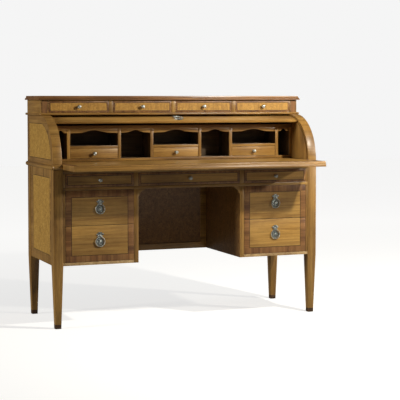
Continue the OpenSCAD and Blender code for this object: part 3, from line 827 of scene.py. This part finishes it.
# %% Knobs
def lathe(outline, steps=40):
    """Spins (radius, height) points once round the Z axis and closes the poles."""
    bm = bmesh.new()
    verts = [bm.verts.new((r * MM, 0.0, h * MM)) for r, h in outline]
    edges = [bm.edges.new(pair) for pair in zip(verts, verts[1:])]
    bmesh.ops.spin(bm, geom=verts + edges, cent=(0, 0, 0), axis=(0, 0, 1), dvec=(0, 0, 0),
                   angle=math.tau, steps=steps, use_merge=True)
    bmesh.ops.remove_doubles(bm, verts=bm.verts, dist=0.000002)
    bmesh.ops.dissolve_degenerate(bm, dist=0.000002, edges=bm.edges)
    bmesh.ops.recalc_face_normals(bm, faces=bm.faces)
    return bm


# Radius and height along the knob, in millimetres
KNOB = [(0, 0), (7.4, 0), (7.4, 0.9), (6.6, 1.6), (6.8, 2.1), (5.2, 3.0), (3.4, 4.4), (3.0, 6.4),
        (3.5, 8.2), (6.2, 9.8), (8.3, 11.6), (9.0, 13.6), (8.7, 15.2), (7.6, 16.4), (6.6, 16.9),
        (6.2, 16.6), (5.4, 16.7), (3.2, 17.6), (0, 18.0)]


def stand_on_face(bm, at):
    """Turns a shape that was built up along Z so that it grows towards -Y from a point."""
    bmesh.ops.rotate(bm, verts=bm.verts, cent=(0, 0, 0),
                     matrix=Matrix.Rotation(math.radians(90), 3, "X"))
    bmesh.ops.translate(bm, verts=bm.verts, vec=at)


for row, count in (("gallery", 4), ("inner", 3), ("frieze", 3)):
    for i in range(1, count + 1):
        node = f"{row}_knob_{i}"
        low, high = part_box(node)
        bm = lathe(KNOB)
        stand_on_face(bm, ((low.x + high.x) / 2, high.y, (low.z + high.z) / 2))
        finish_piece("turned_" + node, bm, [pewter], f"{row}_drawer_{i}", [node],
                     smooth=55.0)

# %% [markdown]
# ## Rods and beads
# The ring pulls are built from three simple things: a round rod bent into a ring, a round rod
# bent into an oval loop, and a ball that can be squashed. A ring is a small circle spun about an
# axis; a loop is a row of small circles that are bridged one to the next.

# %% Rods and beads
def rod_ring(bm, radius, rod, sides=10, steps=40):
    """A ring of round rod about the Y axis; returns its vertices."""
    others = set(bm.verts)
    circle = bmesh.ops.create_circle(bm, cap_ends=False, radius=rod, segments=sides)["verts"]
    bmesh.ops.rotate(bm, verts=circle, cent=(0, 0, 0),
                     matrix=Matrix.Rotation(math.radians(90), 3, "Y"))
    bmesh.ops.translate(bm, verts=circle, vec=(0, 0, radius))
    edges = list(dict.fromkeys(e for v in circle for e in v.link_edges))
    bmesh.ops.spin(bm, geom=circle + edges, cent=(0, 0, 0), axis=(0, 1, 0), dvec=(0, 0, 0),
                   angle=math.tau, steps=steps, use_merge=True)
    return [v for v in bm.verts if v not in others]


def rod_loop(bm, points, rod, sides=8):
    """A closed loop of round rod through points that lie in a plane of equal Y."""
    hoops = []
    count = len(points)
    for k, point in enumerate(points):
        ahead = Vector(points[(k + 1) % count]) - Vector(points[k - 1])
        turn = ahead.to_track_quat("Z", "Y").to_matrix()
        ring = bmesh.ops.create_circle(bm, cap_ends=False, radius=rod, segments=sides)["verts"]
        bmesh.ops.rotate(bm, verts=ring, cent=(0, 0, 0), matrix=turn)
        bmesh.ops.translate(bm, verts=ring, vec=point)
        hoops.append(list(dict.fromkeys(e for v in ring for e in v.link_edges)))
    for k in range(count):
        bmesh.ops.bridge_loops(bm, edges=hoops[k - 1] + hoops[k])


BOW_Y = -0.0026  # how far the bow stands off the drawer's face


def bow_loop(bm, lean, length, width, foot, rod):
    """One loop of a ribbon: an oval that starts at the foot and leans by an angle."""
    points = []
    steps = 18
    for k in range(steps):
        t = math.tau * k / steps
        along = length * (1 - math.cos(t)) / 2
        across = width * math.sin(t) * (0.35 + 0.65 * (1 - math.cos(t)) / 2)
        x = foot[0] + along * math.sin(lean) + across * math.cos(lean)
        z = foot[1] + along * math.cos(lean) - across * math.sin(lean)
        points.append((x, BOW_Y, z))
    rod_loop(bm, points, rod)


def ball(bm, at, radius, rings=5, segments=8, squash=1.0):
    """A ball, flattened along Y by squash; returns its vertices."""
    made = bmesh.ops.create_uvsphere(bm, u_segments=segments, v_segments=rings,
                                     radius=radius)["verts"]
    bmesh.ops.scale(bm, verts=made, vec=(1.0, squash, 1.0))
    bmesh.ops.translate(bm, verts=made, vec=at)
    return made


def turn_about_y(bm, verts, angle):
    bmesh.ops.rotate(bm, verts=verts, cent=(0, 0, 0), matrix=Matrix.Rotation(angle, 3, "Y"))


print("rods and beads ready")

# %% [markdown]
# ## Casting a pull
# Each pull has two parts: a plate with a ribbon bow, and a beaded wreath that swings from it. The
# plate is a dished disc with petals round a button. Its bow has four large loops, filled with
# dark metal, and two small ones below, with a knot where they meet.

# %% Casting a pull
RING = 0.0225       # radius of the wreath
EYE_OUT = 0.0050    # how far the wreath hangs off the face


def wreath(ring_radius):
    """The swinging ring: a stout ring with beads crowded along it."""
    bm = bmesh.new()
    rod_ring(bm, ring_radius, 0.0020)
    beads = 32
    for k in range(beads):
        a = math.tau * k / beads
        ball(bm, (ring_radius * math.sin(a), -0.0006, ring_radius * math.cos(a)), 0.0024)
    bmesh.ops.recalc_face_normals(bm, faces=bm.faces)
    return bm


# Radius and height along the dished disc, in millimetres
ROSETTE = [(0, 0), (19.0, 0), (19.0, 1.2), (18.2, 1.7), (16.6, 1.2), (12.0, 0.9), (8.6, 1.0),
           (7.6, 2.4), (6.6, 2.9), (5.2, 2.4), (3.8, 3.4), (2.0, 4.6), (0, 4.9)]


def plate(ring_radius):
    """The fixed plate: a dished disc with petals, a strap up to the eye, and a bow."""
    bm = lathe(ROSETTE, 40)
    stand_on_face(bm, (0, 0, 0))
    for face in bm.faces:
        middle = face.calc_center_median()
        # The dished ring round the button takes the darker metal.
        face.material_index = 1 if 0.0080 < math.hypot(middle.x, middle.z) < 0.0175 else 0
    petals = 16
    for k in range(petals):
        petal = ball(bm, (0, 0, 0), 0.0016, squash=0.8)
        bmesh.ops.scale(bm, verts=petal, vec=(1.0, 1.0, 2.4))
        bmesh.ops.translate(bm, verts=petal, vec=(0, -0.0012, 0.0128))
        turn_about_y(bm, petal, math.tau * k / petals)
    strap = bmesh.ops.create_cube(bm, size=1.0)["verts"]
    bmesh.ops.scale(bm, verts=strap, vec=(0.0038, 0.0013, 0.014))
    bmesh.ops.translate(bm, verts=strap, vec=(0, -0.0007, ring_radius + 0.002))
    eye = rod_ring(bm, 0.0040, 0.0008, steps=20, sides=8)
    bmesh.ops.rotate(bm, verts=eye, cent=(0, 0, 0),
                     matrix=Matrix.Rotation(math.radians(90), 3, "Z"))
    bmesh.ops.translate(bm, verts=eye, vec=(0, -EYE_OUT, ring_radius))
    foot = (0.0, ring_radius + 0.0078)
    for side in (-1, 1):
        for lean, length, width in ((0.36, 0.0160, 0.0042), (1.15, 0.0180, 0.0042)):
            filling = ball(bm, (0, 0, 0), 1.0, rings=8, segments=16)
            bmesh.ops.scale(bm, verts=filling, vec=(width * 0.9, 0.0012, length * 0.42))
            bmesh.ops.translate(bm, verts=filling, vec=(0, -0.0012, length * 0.54))
            turn_about_y(bm, filling, side * lean)
            bmesh.ops.translate(bm, verts=filling, vec=(foot[0], 0, foot[1]))
            # The fillings of the large loops take the darker metal.
            for face in dict.fromkeys(f for v in filling for f in v.link_faces):
                face.material_index = 1
            bow_loop(bm, side * lean, length, width, foot, 0.0014)
        bow_loop(bm, side * 2.05, 0.0125, 0.0022, foot, 0.0012)
    ball(bm, (0, -0.0034, foot[1]), 0.0036, rings=8, segments=12, squash=0.8)
    bmesh.ops.recalc_face_normals(bm, faces=bm.faces)
    return bm


def carry(bm, at, tilt=0.0):
    """Tilts a pull back by an angle and puts it in place."""
    bmesh.ops.rotate(bm, verts=bm.verts, cent=(0, 0, 0), matrix=Matrix.Rotation(tilt, 3, "X"))
    bmesh.ops.translate(bm, verts=bm.verts, vec=at)


print("outline of the disc:", len(ROSETTE), "points")

# %% [markdown]
# ## Pulls on the pedestal drawers
# Every pedestal drawer carries one plate. The wreath rides on its own body, which swings about
# the eye, so it is a separate piece.

# %% Ring pulls on the pedestal drawers
for i in range(1, 5):
    low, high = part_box(f"pull_ring_{i}")
    x, z = (low.x + high.x) / 2, (low.z + high.z) / 2
    face_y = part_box(f"pull_plate_{i}")[1].y
    bm = plate(RING)
    carry(bm, (x, face_y, z))
    finish_piece(f"cast_pull_plate_{i}", bm, [pewter, dark_pewter], f"pedestal_drawer_{i}",
                 [f"pull_plate_{i}"], smooth=60.0)
    bm = wreath(RING)
    carry(bm, (x, face_y - EYE_OUT, z))
    finish_piece(f"beaded_ring_{i}", bm, [pewter], f"drawer_pull_{i}",
                 [f"pull_ring_{i}"], smooth=60.0)

# %% [markdown]
# ## Lift pull
# The same casting sits in the middle of the lead rail. The roll stands open, so its face is
# tilted back. The tilt follows from the roll's hinge: the pull is square to the line from there.

# %% Lift pull
FACE_RADIUS = 0.2222  # from the roll's axis to the back of the plate
BELOW = 0.0150        # the disc's middle, below the line from the axis
eye = Vector(next(j for j in frame["joints"] if j["name"] == "roll_pull_lift")["pos_m"])
level_eye = math.atan2(RING - BELOW, FACE_RADIUS + EYE_OUT)
lean = math.atan2(eye.z - axle.z, axle.y - eye.y) - level_eye
turn = Matrix.Rotation(-lean, 3, "X")
bm = plate(RING)
carry(bm, axle + turn @ Vector((0, -FACE_RADIUS, -BELOW)), -lean)
finish_piece("cast_lift_plate", bm, [pewter, dark_pewter], "roll", ["lift_plate"],
             smooth=60.0)
bm = wreath(RING)
carry(bm, axle + turn @ Vector((0, -FACE_RADIUS - EYE_OUT, -BELOW)), -lean)
finish_piece("beaded_lift_ring", bm, [pewter], "roll_pull", ["lift_ring"], smooth=60.0)
print("lift pull leans", round(math.degrees(lean), 1), "degrees")

# %% [markdown]
# ## Studio
# A pale floor that runs out of sight, and a white background. To the camera the floor is bright
# paper with soft shadows. To every other ray it is a darker grey, so that it throws less light
# back under the desk.

# %% Floor and background
bm = bmesh.new()
bmesh.ops.create_grid(bm, x_segments=2, y_segments=2, size=14.0)
floor_mesh = bpy.data.meshes.new("floor")
bm.to_mesh(floor_mesh)
bm.free()
floor = bpy.data.objects.new("floor", floor_mesh)
bpy.context.scene.collection.objects.link(floor)
paper, tree, shader = start_material("studio paper")
tree.nodes.remove(shader)
output = next(n for n in tree.nodes if n.type == "OUTPUT_MATERIAL")
seen = add(tree, "ShaderNodeLightPath")
bounce = add(tree, "ShaderNodeBsdfDiffuse", {"Color": (0.32, 0.32, 0.32, 1.0)})
matt = add(tree, "ShaderNodeBsdfDiffuse", {"Color": (0.70, 0.70, 0.70, 1.0)})
coords = add(tree, "ShaderNodeTexCoord")
place = add(tree, "ShaderNodeSeparateXYZ", {"Vector": coords.outputs["Object"]})
# The paper glows a little more at the back, so that no horizon shows
behind = add(tree, "ShaderNodeMapRange", {"Value": place.outputs["Y"], "From Min": -2.0,
                                          "From Max": 4.0, "To Min": 0.57, "To Max": 0.77})
glow = add(tree, "ShaderNodeEmission", {"Color": (1.0, 1.0, 1.0, 1.0),
                                        "Strength": behind.outputs["Result"]})
shown = add(tree, "ShaderNodeAddShader", {0: matt.outputs["BSDF"], 1: glow.outputs["Emission"]})
mixed = add(tree, "ShaderNodeMixShader", {0: seen.outputs["Is Camera Ray"],
                                          1: bounce.outputs["BSDF"], 2: shown.outputs["Shader"]})
tree.links.new(mixed.outputs["Shader"], output.inputs["Surface"])
floor_mesh.materials.append(paper)

world = bpy.data.worlds.new("studio")
bpy.context.scene.world = world
world.use_nodes = True
tree = world.node_tree
tree.nodes.clear()
seen = add(tree, "ShaderNodeLightPath")
fill = add(tree, "ShaderNodeBackground", {"Color": (0.92, 0.95, 1.0, 1.0), "Strength": 0.055})
white = add(tree, "ShaderNodeBackground", {"Color": (0.913, 0.913, 0.913, 1.0), "Strength": 1.0})
mixed = add(tree, "ShaderNodeMixShader", {0: seen.outputs["Is Camera Ray"],
                                          1: fill.outputs["Background"],
                                          2: white.outputs["Background"]})
output = add(tree, "ShaderNodeOutputWorld", {"Surface": mixed.outputs["Shader"]})
bpy.context.scene.view_settings.view_transform = "Standard"
print("floor and background ready")

# %% [markdown]
# ## Lights
# The key lamp stands high in front and a little to the right, so the slide throws its shadow over
# the drawers. A second lamp far to the right shines in at a lower angle and warms that end. A
# soft light from the left shows the burl of the side. The background fills the rest a little.

# %% Lights
def lamp_at(name, place, watts, colour, radius):
    """A small lamp near the desk. Its light fades with distance, as a studio lamp's does."""
    data = bpy.data.lights.new(name, "POINT")
    data.energy = watts
    data.color = colour
    data.shadow_soft_size = radius
    lamp = bpy.data.objects.new(name, data)
    lamp.location = place
    lamp.visible_camera = False
    bpy.context.scene.collection.objects.link(lamp)
    return lamp


def sun(name, direction, strength, colour, angle):
    """A distant light that shines along a direction."""
    data = bpy.data.lights.new(name, "SUN")
    data.energy = strength
    data.color = colour
    data.angle = math.radians(angle)
    lamp = bpy.data.objects.new(name, data)
    lamp.rotation_euler = Vector(direction).to_track_quat("-Z", "Y").to_euler()
    bpy.context.scene.collection.objects.link(lamp)
    return lamp


key = lamp_at("key lamp", (1.05, -1.25, 1.80), 125.0, (1.0, 0.95, 0.84), 0.045)
low_lamp = lamp_at("low lamp", (3.60, -2.60, 2.15), 300.0, (1.0, 0.95, 0.84), 0.12)
side_light = sun("side light", (1.0, 0.02, -0.22), 2.1, (1.0, 0.97, 0.90), 14.0)
print("lights:", key.name, low_lamp.name, side_light.name)
